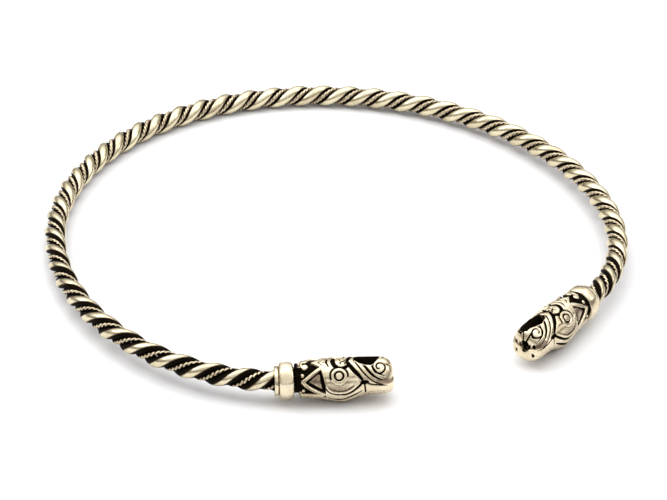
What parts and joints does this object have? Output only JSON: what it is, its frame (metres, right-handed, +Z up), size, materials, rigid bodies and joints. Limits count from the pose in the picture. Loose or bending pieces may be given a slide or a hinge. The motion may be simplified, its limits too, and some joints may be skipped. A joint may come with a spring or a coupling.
{
  "type": "torc",
  "caption": "Open neck ring of twisted bronze wire with filigree cord in the grooves and a cast beast's head on each end.",
  "frame": {"origin": "on the surface the ring lies on, under the middle of its bounding box", "axes": "+Z up; the ring opens toward -Y, with one terminal at -X and the other at +X"},
  "size_m": [0.1528, 0.1558, 0.0113],
  "materials": {
    "bronze_wire": "polished",
    "filigree": "darkened",
    "cast_bronze": "polished"
  },
  "bodies": {
    "root": {"strand_1": "bronze_wire", "strand_2": "bronze_wire", "filigree_cord_1": "filigree", "filigree_cord_2": "filigree", "terminal_left": "cast_bronze", "terminal_right": "cast_bronze"}
  },
  "joints": []
}
